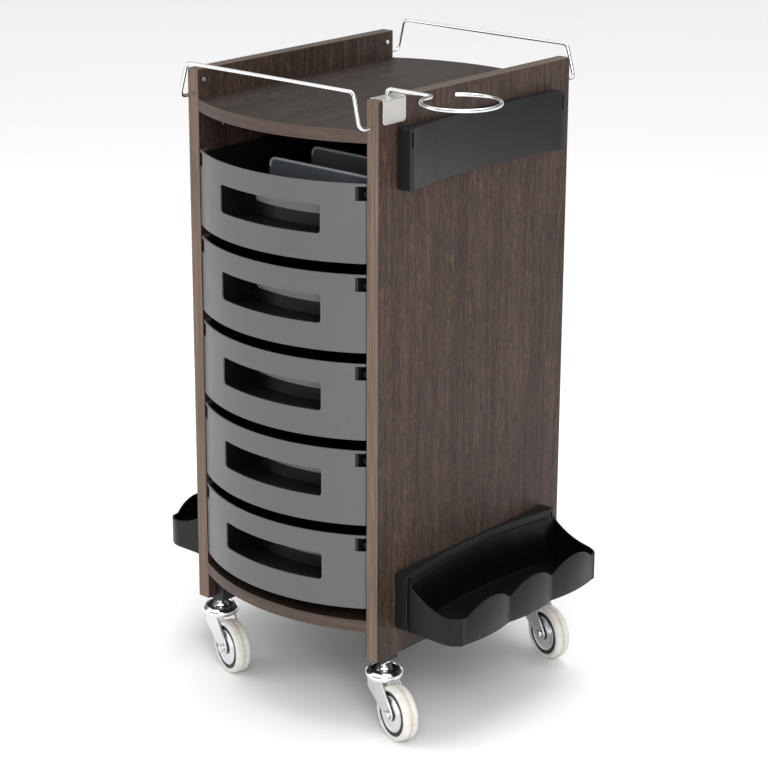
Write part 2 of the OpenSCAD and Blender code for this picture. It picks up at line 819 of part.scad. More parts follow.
side_panel_left();
side_panel_right();
panel_edge_bands();
top_shelf();
bottom_shelf();
shelf_edge_bands();
back_panel();
front_rail();
rear_rail();
dryer_clip();
dryer_ring();
bracket_right_top();
bracket_right_bottom();
bracket_left_bottom();
bin_right();
bin_left();
drawer_1_front();
drawer_2_front();
drawer_3_front();
drawer_4_front();
drawer_5_front();
drawer_1_tray();
drawer_2_tray();
drawer_3_tray();
drawer_4_tray();
drawer_5_tray();
drawer_divider();
drawer_rails();
caster_sockets();
corner_brackets();
panel_screws();
caster_fl_stem();
caster_fl_cap();
caster_fl_fork();
caster_fl_axle();
caster_fl_core();
caster_fl_covers();
caster_fl_tyre();
caster_fr_stem();
caster_fr_cap();
caster_fr_fork();
caster_fr_axle();
caster_fr_core();
caster_fr_covers();
caster_fr_tyre();
caster_rl_stem();
caster_rl_cap();
caster_rl_fork();
caster_rl_axle();
caster_rl_core();
caster_rl_covers();
caster_rl_tyre();
caster_rr_stem();
caster_rr_cap();
caster_rr_fork();
caster_rr_axle();
caster_rr_core();
caster_rr_covers();
caster_rr_tyre();
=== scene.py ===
import bisect
import math

import bmesh
import bpy
from mathutils import Matrix, Vector
from mathutils.geometry import delaunay_2d_cdt


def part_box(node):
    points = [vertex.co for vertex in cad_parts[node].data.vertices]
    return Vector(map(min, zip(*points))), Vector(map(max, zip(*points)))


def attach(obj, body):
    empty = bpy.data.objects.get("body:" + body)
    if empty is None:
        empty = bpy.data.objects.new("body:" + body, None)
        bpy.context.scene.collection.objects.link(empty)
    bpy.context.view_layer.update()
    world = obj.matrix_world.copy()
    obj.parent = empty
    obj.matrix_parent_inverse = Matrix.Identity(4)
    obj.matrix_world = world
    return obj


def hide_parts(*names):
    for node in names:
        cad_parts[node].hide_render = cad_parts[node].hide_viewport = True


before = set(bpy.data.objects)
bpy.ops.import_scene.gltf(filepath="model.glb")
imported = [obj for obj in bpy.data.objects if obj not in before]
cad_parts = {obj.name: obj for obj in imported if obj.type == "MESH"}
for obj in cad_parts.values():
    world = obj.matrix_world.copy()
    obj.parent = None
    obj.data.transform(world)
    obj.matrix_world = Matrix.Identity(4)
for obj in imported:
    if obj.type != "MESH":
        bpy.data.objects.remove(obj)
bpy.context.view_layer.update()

# Geometry is drawn in millimetres, with x and y from the middle of the cabinet
# and z from the floor. MM turns it into metres, and ORIGIN puts it in the frame.
MM = 0.001
EPS = 1e-3

panel_l, panel_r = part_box("side_panel_left"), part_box("side_panel_right")
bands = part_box("panel_edge_bands")
ORIGIN = Vector(((panel_l[0].x + panel_r[1].x) / 2, (bands[0].y + bands[1].y) / 2, 0))


def place(x, y, z):
    """Cabinet millimetres to the frame's metres."""
    return ORIGIN + Vector((x, y, z)) * MM


def middle(node):
    """Centre of a CAD node in the frame."""
    lo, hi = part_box(node)
    return (lo + hi) / 2


def local(node):
    """(lowest, highest) corner of a CAD node in cabinet millimetres."""
    lo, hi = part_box(node)
    return (lo - ORIGIN) / MM, (hi - ORIGIN) / MM


HALF_IN = local("side_panel_right")[0].x
HALF_D = local("panel_edge_bands")[1].y


# ---- Plane curves ----

def normal_left(a, b):
    d = (b - a).normalized()
    return Vector((-d.y, d.x))


def area(loop):
    return sum(a.cross(b) for a, b in zip(loop, loop[1:] + loop[:1])) / 2


def facing(loop, ccw):
    """The loop, running anticlockwise or clockwise."""
    return list(loop) if (area(loop) > 0) == ccw else list(reversed(loop))


def fillet(points, radii, steps=6, closed=True):
    """Rounds the corners of a path, in the plane or in space."""
    points = [Vector(p) for p in points]
    n = len(points)
    if not hasattr(radii, "__len__"):
        radii = [radii] * n
    out = []
    for i, p in enumerate(points):
        if radii[i] <= 0 or (not closed and i in (0, n - 1)):
            out.append(p)
            continue
        a = (points[i - 1] - p).normalized()
        b = (points[(i + 1) % n] - p).normalized()
        half = math.acos(max(-1, min(1, a.dot(b)))) / 2
        centre = p + (a + b).normalized() * radii[i] / math.sin(half)
        start, end = p + a * radii[i] / math.tan(half), p + b * radii[i] / math.tan(half)
        u, v = start - centre, end - centre
        turn = math.pi - 2 * half
        for k in range(steps + 1):
            t = k / steps
            out.append(centre + (u * math.sin((1 - t) * turn) + v * math.sin(t * turn))
                       / math.sin(turn))
    return out


def arc(cx, cy, r, start, end, steps):
    """Points on a circle, angles in degrees."""
    return [Vector((cx + r * math.cos(math.radians(start + (end - start) * k / steps)),
                    cy + r * math.sin(math.radians(start + (end - start) * k / steps))))
            for k in range(steps + 1)]


def inset(loop, d):
    """Moves each point of a loop to the left of its direction by d."""
    out = []
    for i, p in enumerate(loop):
        n1 = normal_left(loop[i - 1], p)
        n2 = normal_left(p, loop[(i + 1) % len(loop)])
        out.append((n1 + n2) / max(0.35, 1 + n1.dot(n2)))
    return [p + m * d for p, m in zip(loop, out)]


def refine(loop, step):
    out = []
    for a, b in zip(loop, loop[1:] + loop[:1]):
        n = max(1, math.ceil((b - a).length / step - 0.01))
        out += [a.lerp(b, i / n) for i in range(n)]
    return out


def inside(p, loop):
    hit = False
    for a, b in zip(loop, loop[1:] + loop[:1]):
        if (a.y > p.y) != (b.y > p.y) and p.x < a.x + (p.y - a.y) * (b.x - a.x) / (b.y - a.y):
            hit = not hit
    return hit


def rectangle(x0, y0, x1, y1, r=0.0, steps=6):
    corners = [(x0, y0), (x1, y0), (x1, y1), (x0, y1)]
    return fillet(corners, r, steps)


def bow_r(half, rise):
    return (half * half + rise * rise) / (2 * rise)


class Track:
    """A plane path that a sheet is bent along. at(s) gives the point at a distance s and
    the normal to its right."""

    def __init__(self, points, step=0.4):
        self.p = []
        for a, b in zip(points, points[1:]):
            n = max(1, math.ceil((b - a).length / step))
            self.p += [a.lerp(b, i / n) for i in range(n)]
        self.p.append(points[-1])
        self.s = [0.0]
        for a, b in zip(self.p, self.p[1:]):
            self.s.append(self.s[-1] + (b - a).length)
        edge = [-normal_left(a, b) for a, b in zip(self.p, self.p[1:])]
        edge = [edge[0]] + edge + [edge[-1]]
        self.n = [(a + b).normalized() for a, b in zip(edge, edge[1:])]
        self.length = self.s[-1]

    def at(self, s):
        i = min(max(bisect.bisect_right(self.s, s) - 1, 0), len(self.s) - 2)
        t = (s - self.s[i]) / (self.s[i + 1] - self.s[i])
        k = min(max(t, 0), 1)
        return self.p[i] + (self.p[i + 1] - self.p[i]) * t, self.n[i].lerp(self.n[i + 1], k)

    def find(self, x, lo=0.0, hi=1.0):
        """Distance along the path to where it crosses x, between two shares of its length."""
        lo, hi = lo * self.length, hi * self.length
        up = self.at(hi)[0].x > self.at(lo)[0].x
        for _ in range(40):
            mid = (lo + hi) / 2
            if (self.at(mid)[0].x < x) == up:
                lo = mid
            else:
                hi = mid
        return lo


# ---- Meshes ----

def piece(name, mesh, mat, body, nodes=(), matrix=None):
    o = bpy.data.objects.new(name, mesh)
    bpy.context.scene.collection.objects.link(o)
    if matrix is not None:
        o.matrix_world = matrix
    o.data.materials.append(mat)
    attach(o, body)
    if nodes:
        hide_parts(*nodes)
    return o


def finish_mesh(name, verts, faces, normals=None, sharp=35):
    """Mesh with its faces turned outwards and smooth shading."""
    mesh = bpy.data.meshes.new(name)
    mesh.from_pydata([tuple(v) for v in verts], [], faces)
    bm = bmesh.new()
    bm.from_mesh(mesh)
    bmesh.ops.recalc_face_normals(bm, faces=bm.faces)
    bm.to_mesh(mesh)
    bm.free()
    for f in mesh.polygons:
        f.use_smooth = True
    if normals:
        mesh.normals_split_custom_set_from_vertices([tuple(n) for n in normals])
    else:
        mesh.set_sharp_from_angle(angle=math.radians(sharp))
    return mesh


def plate(name, outline, holes, t, r, bend, grid=0.0, rounds=3):
    """A sheet of thickness t with edges rounded by r. bend(u, v, w) gives each point in
    cabinet millimetres; w is 0 on the sheet's face and -t on its back."""
    loops = [facing(outline, True)] + [facing(h, False) for h in holes]
    if grid:
        loops = [refine(lp, grid) for lp in loops]
    turns = [math.pi / 2 * k / rounds for k in range(rounds + 1)]
    levels = [(a, -r * (1 - math.cos(a))) for a in turns]
    levels += [(a + math.pi / 2, -t + r * (1 - math.sin(a)))
               for a in turns[0 if t > 2 * r + 1e-6 else 1:]]
    flat, faces = [], []
    tops, bottoms = [], []
    for lp in loops:
        n = len(lp)
        way = [(q - p) for p, q in zip(lp, inset(lp, 1.0))]
        first = len(flat)
        for a, w in levels:
            for p, m in zip(lp, way):
                q = p + m * r * (1 - math.sin(a))
                flat.append((q.x, q.y, w, -m.x * math.sin(a), -m.y * math.sin(a), math.cos(a)))
        for k in range(len(levels) - 1):
            for i in range(n):
                j = (i + 1) % n
                a, b = first + k * n, first + (k + 1) * n
                faces.append((a + i, a + j, b + j, b + i))
        tops.append(list(range(first, first + n)))
        bottoms.append(list(range(first + (len(levels) - 1) * n, first + len(levels) * n)))
    rims = [[Vector(flat[i][:2]) for i in ids] for ids in tops]
    points = [p for rim in rims for p in rim]
    index_top = [i for ids in tops for i in ids]
    index_bottom = [i for ids in bottoms for i in ids]
    edges, base = [], 0
    for rim in rims:
        n = len(rim)
        edges += [(base + i, base + (i + 1) % n) for i in range(n)]
        base += n
    if grid:
        x0, x1 = min(p.x for p in rims[0]), max(p.x for p in rims[0])
        y0, y1 = min(p.y for p in rims[0]), max(p.y for p in rims[0])
        nx, ny = max(1, round((x1 - x0) / grid)), max(1, round((y1 - y0) / grid))
        near = inset(rims[0], grid * 0.45)
        wide = [inset(h, grid * 0.45) for h in rims[1:]]
        for i in range(1, nx):
            for j in range(1, ny):
                p = Vector((x0 + (x1 - x0) * i / nx, y0 + (y1 - y0) * j / ny))
                if inside(p, near) and not any(inside(p, h) for h in wide):
                    points.append(p)
                    for w, ids, nw in ((0.0, index_top, 1.0), (-t, index_bottom, -1.0)):
                        ids.append(len(flat))
                        flat.append((p.x, p.y, w, 0.0, 0.0, nw))
    _, _, cells, origin, _, _ = delaunay_2d_cdt(points, edges, [], 1, 1e-6)
    for cell in cells:
        ids = [origin[i][0] for i in cell]
        centre = sum((points[i] for i in ids), Vector((0, 0))) / len(ids)
        if any(inside(centre, h) for h in rims[1:]):
            continue
        faces.append(tuple(index_top[i] for i in ids))
        faces.append(tuple(index_bottom[i] for i in reversed(ids)))
    verts, normals = [], []
    for u, v, w, nu, nv, nw in flat:
        at = Vector(bend(u, v, w))
        tip = Vector(bend(u + nu * EPS, v + nv * EPS, w + nw * EPS))
        verts.append(place(*at))
        normals.append((tip - at).normalized())
    return finish_mesh(name, verts, faces, normals)


def lathe(profile, steps=96):
    """(vertices, faces) of a closed profile of (radius, height) turned about Z."""
    verts, faces, rings = [], [], []
    for r, z in profile:
        if r < 1e-6:
            rings.append([len(verts)] * steps)
            verts.append(Vector((0, 0, z)))
        else:
            rings.append(list(range(len(verts), len(verts) + steps)))
            verts += [Vector((r * math.cos(2 * math.pi * k / steps),
                              r * math.sin(2 * math.pi * k / steps), z)) for k in range(steps)]
    for a, b in zip(rings, rings[1:] + rings[:1]):
        for i in range(steps):
            j = (i + 1) % steps
            face = []
            for v in (a[i], a[j], b[j], b[i]):
                if v not in face:
                    face.append(v)
            if len(face) > 2:
                faces.append(tuple(face))
    return verts, faces


def turned(name, profiles, sharp=35, steps=96):
    """Mesh of several turned solids about one axis, in metres about its own origin."""
    verts, faces = [], []
    for p in profiles:
        v, f = lathe([tuple(q) for q in p], steps)
        faces += [tuple(i + len(verts) for i in face) for face in f]
        verts += [q * MM for q in v]
    return finish_mesh(name, verts, faces, sharp=sharp)


def ring_profile(r0, r1, z0, z1, edge, steps=4):
    return rectangle(r0, z0, r1, z1, edge, steps)


def hexagon(d, z0, z1, chamfer):
    """(vertices, faces) of a hexagon nut or bolt head, d over its corners, with chamfered ends."""
    levels = [(d / 2 - chamfer, z0), (d / 2, z0 + chamfer * 0.5),
              (d / 2, z1 - chamfer * 0.5), (d / 2 - chamfer, z1)]
    verts, faces = [], []
    for k, (r, z) in enumerate(levels):
        for i in range(24):
            a = 2 * math.pi * i / 24
            flat_r = math.cos(math.pi / 6) / math.cos((a % (math.pi / 3)) - math.pi / 6) * d / 2
            q = min(r, flat_r)
            verts.append(Vector((q * math.cos(a), q * math.sin(a), z)))
    for k in range(3):
        for i in range(24):
            j = (i + 1) % 24
            faces.append((24 * k + i, 24 * k + j, 24 * k + 24 + j, 24 * k + 24 + i))
    faces.append(tuple(range(23, -1, -1)))
    faces.append(tuple(range(72, 96)))
    return verts, faces


def joined(name, parts, sharp=35):
    """One mesh of several (vertices, faces) lists given in millimetres."""
    verts, faces = [], []
    for v, f in parts:
        faces += [tuple(i + len(verts) for i in face) for face in f]
        verts += [q * MM for q in v]
    return finish_mesh(name, verts, faces, sharp=sharp)


def wire(name, path, r, sides=24):
    """A round wire along a path in cabinet millimetres, with rounded ends."""
    path = [p for i, p in enumerate(path) if i == 0 or (p - path[i - 1]).length > 1e-4]
    tangents = []
    for i in range(len(path)):
        a, b = path[max(i - 1, 0)], path[min(i + 1, len(path) - 1)]
        tangents.append((b - a).normalized())
    side = tangents[0].orthogonal().normalized()
    stations = []
    for p, t in zip(path, tangents):
        side = (side - t * side.dot(t)).normalized()
        stations.append((p, t, side.copy()))
    ends = []
    for k in range(1, 5):
        a = math.pi / 2 * k / 4
        ends.append((math.sin(a) * 0.7 * r, r * (0.72 + 0.28 * math.cos(a)) if k < 4 else 0.0))
    verts, faces, rings = [], [], []

    def add_ring(p, t, s, radius):
        if radius < 1e-6:
            rings.append([len(verts)] * sides)
            verts.append(place(*p))
            return
        u = t.cross(s)
        rings.append(list(range(len(verts), len(verts) + sides)))
        for k in range(sides):
            a = 2 * math.pi * k / sides
            verts.append(place(*(p + (s * math.cos(a) + u * math.sin(a)) * radius)))

    p, t, s = stations[0]
    for back, radius in reversed(ends):
        add_ring(p + t * (ends[-1][0] - back), t, s, radius)
    for k, (p, t, s) in enumerate(stations):
        move = t * ends[-1][0] * (1 if k == 0 else -1 if k == len(stations) - 1 else 0)
        add_ring(p + move, t, s, r)
    p, t, s = stations[-1]
    for on, radius in ends:
        add_ring(p - t * (ends[-1][0] - on), t, s, radius)
    for a, b in zip(rings, rings[1:]):
        for i in range(sides):
            j = (i + 1) % sides
            face = []
            for v in (a[i], a[j], b[j], b[i]):
                if v not in face:
                    face.append(v)
            if len(face) > 2:
                faces.append(tuple(face))
    return finish_mesh(name, verts, faces, sharp=50)


def soften(node, width, angle=32):
    """Rounds the edges of a carried-over CAD node with modifiers alone."""
    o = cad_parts[node]
    weld = o.modifiers.new("weld", "WELD")
    weld.merge_threshold = 5e-6
    bevel = o.modifiers.new("edges", "BEVEL")
    bevel.width = width * MM
    bevel.segments = 3
    bevel.limit_method = "ANGLE"
    bevel.angle_limit = math.radians(angle)
    bevel.use_clamp_overlap = False
    bevel.harden_normals = True


# ---- Materials ----

class Finish:
    """A material whose nodes are added one line at a time."""

    def __init__(self, name, **settings):
        self.mat = bpy.data.materials.new(name)
        self.mat.use_nodes = True
        self.tree = self.mat.node_tree
        self.shader = self.tree.nodes["Principled BSDF"]
        for key, value in settings.items():
            socket = key.replace("_", " ").title().replace("Ior", "IOR")
            self.shader.inputs[socket].default_value = value

    def add(self, kind, output=0, inputs=None, **props):
        node = self.tree.nodes.new("ShaderNode" + kind)
        for key, value in props.items():
            setattr(node, key, value)
        for key, value in (inputs or {}).items():
            if isinstance(value, bpy.types.NodeSocket):
                self.tree.links.new(value, node.inputs[key])
            else:
                node.inputs[key].default_value = value
        return node.outputs[output]

    def coords(self, scale=(1, 1, 1), vector=None):
        start = vector or self.add("TexCoord", "Object")
        return self.add("Mapping", inputs={"Vector": start, "Scale": scale})

    def noise(self, vector, scale=1.0, detail=3.0, rough=0.5, twist=0.0):
        return self.add("TexNoise", "Fac", {"Vector": vector, "Scale": scale, "Detail": detail,
                                            "Roughness": rough, "Distortion": twist})

    def ramp(self, fac, stops):
        node = self.tree.nodes.new("ShaderNodeValToRGB")
        self.tree.links.new(fac, node.inputs["Fac"])
        while len(node.color_ramp.elements) < len(stops):
            node.color_ramp.elements.new(0.5)
        for element, (at, colour) in zip(node.color_ramp.elements, stops):
            element.position = at
            if not hasattr(colour, "__len__"):
                colour = (colour, colour, colour)
            element.color = (*colour, 1)
        return node.outputs["Color"]

    def mix(self, fac, a, b, mode="MIX"):
        node = self.tree.nodes.new("ShaderNodeMix")
        node.data_type = "RGBA"
        node.blend_type = mode
        for key, value in ((0, fac), (6, a), (7, b)):
            if isinstance(value, bpy.types.NodeSocket):
                self.tree.links.new(value, node.inputs[key])
            else:
                node.inputs[key].default_value = value if key == 0 else (*value, 1)
        return node.outputs[2]

    def sum(self, a, b, op="ADD", clamp=False):
        return self.add("Math", inputs={0: a, 1: b}, operation=op, use_clamp=clamp)

    def scaled(self, value, lo, hi, from_lo=0.0, from_hi=1.0):
        return self.add("MapRange", inputs={"Value": value, "From Min": from_lo,
                                            "From Max": from_hi, "To Min": lo, "To Max": hi})

    def bump(self, height, distance, strength=1.0, onto=None):
        inputs = {"Height": height, "Distance": distance * MM, "Strength": strength}
        if onto:
            inputs["Normal"] = onto
        return self.add("Bump", inputs=inputs)

    def use(self, colour=None, rough=None, bump=None):
        for key, value in (("Base Color", colour), ("Roughness", rough), ("Normal", bump)):
            if value is not None:
                self.tree.links.new(value, self.shader.inputs[key])
        return self.mat


def srgb(r, g, b):
    """A colour given in 8-bit sRGB, as linear light."""
    return tuple(c / 12.92 if c <= 0.04045 else ((c + 0.055) / 1.055) ** 2.4
                 for c in (r / 255, g / 255, b / 255))


def wood(name, dark, mid, light, along, spread=1.4, rough=0.5):
    """Open-pored wood effect with its grain along one axis, at real scale."""
    f = Finish(name, specular_ior_level=0.25)

    def grain(across, length):
        return tuple(length if k == along else across for k in range(3))

    bend = f.noise(f.coords(grain(9, 2.4)), 1.0, 2.0, 0.5)
    source = f.add("TexCoord", "Object")
    drift = f.add("VectorMath", inputs={0: f.add("CombineXYZ", inputs={
        k: (0.0 if k == along else bend) for k in range(3)}), 1: (0.02, 0.02, 0.02)},
        operation="MULTIPLY")
    moved = f.add("VectorMath", inputs={0: source, 1: drift}, operation="ADD")
    broad = f.noise(f.coords(grain(26, 1.8), vector=moved), 1.0, 3.0, 0.55)
    bands = f.noise(f.coords(grain(150, 6.0), vector=moved), 1.0, 3.0, 0.6)
    fibre = f.noise(f.coords(grain(620, 34), vector=moved), 1.0, 3.0, 0.65)
    fleck = f.noise(f.coords(grain(1300, 130), vector=moved), 1.0, 2.0, 0.6)
    tone = f.sum(f.sum(f.scaled(broad, -0.09, 0.09, 0.3, 0.7),
                       f.scaled(bands, -0.12, 0.12, 0.3, 0.7)),
                 f.sum(f.scaled(fibre, -0.26, 0.26, 0.25, 0.75),
                       f.scaled(fleck, -0.24, 0.24, 0.25, 0.75)))
    tone = f.sum(f.sum(tone, spread, "MULTIPLY"), 0.5, clamp=True)
    colour = f.ramp(tone, [(0.0, dark), (0.5, mid), (1.0, light)])
    pores = f.ramp(f.noise(f.coords(grain(900, 48), vector=moved), 1.0, 2.0, 0.5),
                   [(0.33, 0.0), (0.43, 1.0)])
    colour = f.mix(f.scaled(pores, 0.75, 0.0), colour, tuple(0.35 * c for c in dark))
    bump = f.bump(pores, 0.12, 0.4, f.bump(fibre, 0.08, 0.4))
    return f.use(colour, f.scaled(fibre, rough - 0.07, rough + 0.10, 0.3, 0.7), bump)


def edge_band(name, dark, light, plan_dark, plan_light):
    """Wood-effect edging: grain runs up the upright strips and along the level ones."""
    f = Finish(name, specular_ior_level=0.4)
    source = f.add("TexCoord", "Object")
    up = f.add("SeparateXYZ", "Z", {0: f.add("NewGeometry", "Normal")})
    level = f.sum(f.sum(up, up, "MULTIPLY"), 0.5, "GREATER_THAN")
    shades = []
    for scale, fine in (((420, 420, 9), (1500, 1500, 60)), ((420, 9, 420), (1500, 60, 1500))):
        tone = f.sum(f.noise(f.coords(scale, vector=source), 1.0, 3.0, 0.6),
                     f.scaled(f.noise(f.coords(fine, vector=source), 1.0, 2.0, 0.6), -0.2, 0.2))
        shades.append(tone)
    upright = f.ramp(shades[0], [(0.28, dark), (0.72, light)])
    flat = f.ramp(shades[1], [(0.28, plan_dark), (0.72, plan_light)])
    return f.use(f.mix(level, upright, flat), f.scaled(shades[0], 0.42, 0.6),
                 f.bump(shades[0], 0.05, 0.4))


def shelf_band(name, dark, light):
    f = Finish(name, specular_ior_level=0.4)
    tone = f.sum(f.noise(f.coords((9, 9, 420)), 1.0, 3.0, 0.6),
                 f.scaled(f.noise(f.coords((60, 60, 1500)), 1.0, 2.0, 0.6), -0.2, 0.2))
    return f.use(f.ramp(tone, [(0.28, dark), (0.72, light)]), f.scaled(tone, 0.42, 0.6),
                 f.bump(tone, 0.05, 0.4))


def plastic(name, colour, rough, grain=900.0, depth=0.03, mottle=0.06, **settings):
    """Moulded plastic: a fine eroded grain, slow changes of gloss and faint handling marks."""
    f = Finish(name, **settings)
    slow = f.noise(f.coords(), 9.0, 3.0, 0.55)
    marks = f.noise(f.coords((1, 1, 1)), 55.0, 4.0, 0.7, 0.6)
    fine = f.noise(f.coords(), grain, 2.0, 0.5)
    low = tuple(c * (1 - mottle) for c in colour)
    high = tuple(min(1, c * (1 + mottle)) for c in colour)
    tint = f.ramp(f.sum(f.sum(slow, 0.7, "MULTIPLY"), f.sum(marks, 0.3, "MULTIPLY")),
                  [(0.3, low), (0.7, high)])
    gloss = f.sum(f.scaled(slow, rough - 0.05, rough + 0.05, 0.3, 0.7),
                  f.scaled(marks, -0.03, 0.05, 0.3, 0.7))
    return f.use(tint, gloss, f.bump(fine, depth, 0.5))


def bin_plastic(name, outer, inside_shade_colour, rough, centre):
    """Moulded plastic whose inside, where the faces look back at the centre, is painted
    darker: painted shade for the shadow inside the bin."""
    f = Finish(name, specular_ior_level=0.24)
    out = f.add("VectorMath", inputs={0: f.add("TexCoord", "Object"), 1: centre},
                operation="SUBTRACT")
    looks = f.add("VectorMath", "Value", inputs={0: out, 1: f.add("NewGeometry", "Normal")},
                  operation="DOT_PRODUCT")
    # Painted shade: faces that look back at the centre take the darker inside colour.
    painted_shade_inside = f.sum(looks, 0.0, "LESS_THAN")
    slow = f.noise(f.coords(), 9.0, 3.0, 0.55)
    marks = f.noise(f.coords((1, 1, 1)), 55.0, 4.0, 0.7, 0.6)
    fine = f.noise(f.coords(), 700.0, 2.0, 0.5)
    tint = f.ramp(slow, [(0.3, tuple(0.94 * c for c in outer)), (0.7, outer)])
    gloss = f.sum(f.scaled(slow, rough - 0.05, rough + 0.05, 0.3, 0.7),
                  f.scaled(marks, -0.03, 0.06, 0.3, 0.7))
    return f.use(f.mix(painted_shade_inside, tint, inside_shade_colour), gloss, f.bump(fine, 0.04, 0.5))


def metal(name, colour, rough, brush=None, depth=0.01, **settings):
    """Plated or brushed metal with faint smudges."""
    f = Finish(name, metallic=1.0, **settings)
    smudge = f.noise(f.coords(), 60.0, 4.0, 0.6)
    tint = f.ramp(smudge, [(0.3, tuple(c * 0.95 for c in colour)), (0.7, colour)])
    fine = f.noise(f.coords(brush or (1, 1, 1)), 1.0 if brush else 700.0, 3.0, 0.6)
    gloss = f.sum(f.scaled(smudge, rough, rough * 1.5 + 0.02, 0.35, 0.75),
                  f.scaled(fine, -0.02, 0.03, 0.3, 0.7), clamp=True)
    return f.use(tint, gloss, f.bump(fine, depth, 0.5))


def tyre(name):
    """Ivory rubber with a brownish mould line round its middle and specks along it.
    The piece's own Z is the axle."""
    f = Finish(name, specular_ior_level=0.35)
    place_z = f.add("SeparateXYZ", "Z", {0: f.coords((1000, 1000, 1000))})
    wobble = f.scaled(f.noise(f.coords(), 260.0, 4.0, 0.65), -3.5, 3.5)
    away = f.add("Math", inputs={0: f.sum(place_z, wobble)}, operation="ABSOLUTE")
    line = f.scaled(away, 0.75, 0.0, 0.0, 3.2)
    specks = f.ramp(f.noise(f.coords(), 420.0, 2.0, 0.6), [(0.62, 0.0), (0.70, 1.0)])
    cloud = f.noise(f.coords(), 70.0, 3.0, 0.6)
    base = f.ramp(cloud, [(0.3, srgb(206, 205, 198)), (0.7, srgb(226, 225, 219))])
    base = f.mix(line, base, srgb(190, 172, 150))
    spotted = f.sum(f.sum(specks, line, "MULTIPLY"), 0.6, "MULTIPLY")
    base = f.mix(spotted, base, srgb(140, 118, 96))
    grain = f.noise(f.coords(), 500.0, 3.0)
    return f.use(base, f.scaled(cloud, 0.5, 0.62), f.bump(grain, 0.05, 0.5))


WOOD = dict(dark=srgb(28, 19, 15), mid=srgb(60, 46, 38), light=srgb(96, 77, 66))
LEVEL = dict(dark=srgb(24, 18, 15), mid=srgb(42, 33, 28), light=srgb(62, 51, 44))
MATS = {
    "panel": wood("wood_upright", along=2, **WOOD),
    "shelf": wood("wood_level", along=1, **LEVEL),
    "band": edge_band("band_upright", srgb(82, 65, 55), srgb(122, 101, 87),
                      srgb(60, 50, 44), srgb(88, 74, 65)),
    "shelf_band": shelf_band("band_level", srgb(54, 42, 36), srgb(86, 70, 60)),
    "chrome": metal("chrome_wire", (0.82, 0.82, 0.82), 0.05, depth=0.004),
    "nickel": metal("satin_nickel", (0.66, 0.64, 0.61), 0.30, brush=(1200, 60, 1200), depth=0.02),
    "front": plastic("front_grey", srgb(86, 86, 88), 0.33, mottle=0.03),
    "guard": plastic("guard_grey", srgb(132, 132, 135), 0.42, mottle=0.03),
    "tray": plastic("tray_black", srgb(13, 13, 14), 0.42),
    "divider": plastic("divider_grey", srgb(74, 78, 82), 0.36),
    # Painted highlight: light grey for the beads that stand in for the light caught by the divider
    # tops.
    "highlight_bead": plastic("painted_highlight_grey", srgb(150, 154, 158), 0.3),
    "bracket": plastic("bracket_grey", srgb(23, 23, 24), 0.42, grain=700.0, depth=0.04,
                       specular_ior_level=0.3),
    "zinc": metal("zinc_plate", (0.78, 0.79, 0.80), 0.26, depth=0.01),
    "polished": metal("polished_chrome", (0.86, 0.86, 0.86), 0.06, depth=0.004),
    "wheel": plastic("wheel_black", srgb(24, 24, 24), 0.38),
    "cover": metal("cover_silver", (0.80, 0.81, 0.82), 0.26, depth=0.01),
    "seal": plastic("seal_black", srgb(24, 25, 27), 0.3),
    "tyre": tyre("tyre_ivory"),
}
for side in ("right", "left"):
    # The second colour is painted shade, darker than the plastic, for the shadow inside each bin.
    MATS["bin_" + side] = bin_plastic("bin_" + side, srgb(13, 13, 13), srgb(6, 6, 6), 0.36,
                                      middle("bin_" + side))


def dress(node, mat):
    """Gives a carried-over CAD node its finish."""
    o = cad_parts[node]
    o.data.materials.clear()
    o.data.materials.append(MATS[mat])
    for f in o.data.polygons:
        f.material_index = 0


# ---- Boards ----

for node, mat, edge in (
        ("side_panel_left", "panel", 0.2), ("side_panel_right", "panel", 0.2),
        ("top_shelf", "shelf", 0.2), ("bottom_shelf", "shelf", 0.2),
        ("back_panel", "panel", 0.3), ("panel_edge_bands", "band", 0.35),
        ("shelf_edge_bands", "shelf_band", 0.35)):
    dress(node, mat)
    soften(node, edge)


# ---- Wire rails ----

def smooth_path(points, r, steps=10):
    return fillet(points, r, steps, closed=False)


WIRE_R = 2.5
RAIL_BEND = 9.0
RAIL_NARROW = 12.0
RAIL_HOLE = 22.0
for node, side in (("front_rail", -1), ("rear_rail", 1)):
    lo, hi = local(node)
    x_end = hi.x - WIRE_R
    x_top = x_end - RAIL_NARROW
    foot_y = (lo.y + WIRE_R) if side < 0 else (hi.y - WIRE_R)
    top_y = foot_y - side * 2.0
    y_end = side * (HALF_D - RAIL_HOLE)
    hole_z, bar_z = lo.z + WIRE_R, hi.z - WIRE_R
    path = smooth_path([(-x_end, y_end, hole_z), (-x_end, foot_y, hole_z), (-x_top, top_y, bar_z),
                        (x_top, top_y, bar_z), (x_end, foot_y, hole_z), (x_end, y_end, hole_z)],
                       RAIL_BEND)
    piece(node + "_wire", wire(node + "_wire", path, WIRE_R), MATS["chrome"], "cabinet",
          [node])


# ---- Dryer holder ----

clip_lo, clip_hi = local("dryer_clip")
ring_lo, ring_hi = local("dryer_ring")
CLIP_T = 1.5
top_z = clip_hi.z
out_x, in_x = clip_hi.x, clip_lo.x
clip_path = fillet([(in_x, top_z - 10), (in_x, top_z), (out_x, top_z), (out_x, clip_lo.z)],
                   [0, 2.0, 2.0, 0], 6, closed=False)
clip_track = Track(clip_path)


def clip_bend(u, v, w):
    p, n = clip_track.at(u)
    return (p.x - n.x * w, v, p.y - n.y * w)


clip_outline = fillet([(0, clip_lo.y), (clip_track.length, clip_lo.y),
                       (clip_track.length, clip_hi.y), (0, clip_hi.y)], [2, 5, 5, 2])
piece("dryer_clip_plate",
      plate("dryer_clip_plate", clip_outline, [], CLIP_T, 0.4, clip_bend, grid=3.0),
      MATS["nickel"], "dryer_holder", ["dryer_clip"])

